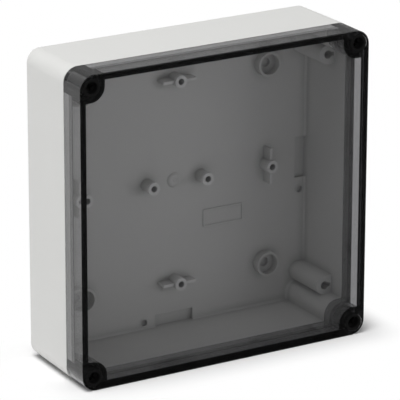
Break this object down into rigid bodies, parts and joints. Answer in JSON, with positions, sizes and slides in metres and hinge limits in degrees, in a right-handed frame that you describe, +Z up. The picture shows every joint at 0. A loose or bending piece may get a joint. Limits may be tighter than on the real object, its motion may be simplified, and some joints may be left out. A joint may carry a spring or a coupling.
{
  "type": "polycarbonate enclosure",
  "caption": "Shallow square wall-mounting enclosure: a light grey moulded base with inner pillars, and a smoked see-through lid held on a foam seal by captive corner screws.",
  "frame": {"origin": "centre of the back face, which lies on the wall", "axes": "+Y into the wall, the lid facing -Y; +Z up as the enclosure hangs; +X to the right, seen from the front"},
  "size_m": [0.182, 0.063, 0.18],
  "materials": {
    "grey_shell": "light grey polycarbonate, fine spark-eroded texture",
    "smoked_cover": "smoked transparent polycarbonate, polished",
    "foam": "foamed-in polyurethane seal",
    "black_screw": "black polyamide, satin"
  },
  "bodies": {
    "base": {"base": "grey_shell"},
    "lid": {"lid": "smoked_cover", "gasket": "foam"},
    "screw_top_left": {"lid_screw_top_left": "black_screw"},
    "screw_top_right": {"lid_screw_top_right": "black_screw"},
    "screw_bottom_left": {"lid_screw_bottom_left": "black_screw"},
    "screw_bottom_right": {"lid_screw_bottom_right": "black_screw"}
  },
  "joints": [
    {"name": "lid_lift", "type": "slide", "parent": "base", "child": "lid", "axis": [0, -1, 0], "range_m": [0, 0.06]},
    {"name": "turn_top_left", "type": "hinge", "parent": "lid", "child": "screw_top_left", "pos_m": [-0.084, -0.0468, 0.0826], "axis": [0, -1, 0], "range_deg": [0, 810]},
    {"name": "turn_top_right", "type": "hinge", "parent": "lid", "child": "screw_top_right", "pos_m": [0.084, -0.0468, 0.0826], "axis": [0, -1, 0], "range_deg": [0, 810]},
    {"name": "turn_bottom_left", "type": "hinge", "parent": "lid", "child": "screw_bottom_left", "pos_m": [-0.084, -0.0468, -0.0826], "axis": [0, -1, 0], "range_deg": [0, 810]},
    {"name": "turn_bottom_right", "type": "hinge", "parent": "lid", "child": "screw_bottom_right", "pos_m": [0.084, -0.0468, -0.0826], "axis": [0, -1, 0], "range_deg": [0, 810]}
  ]
}
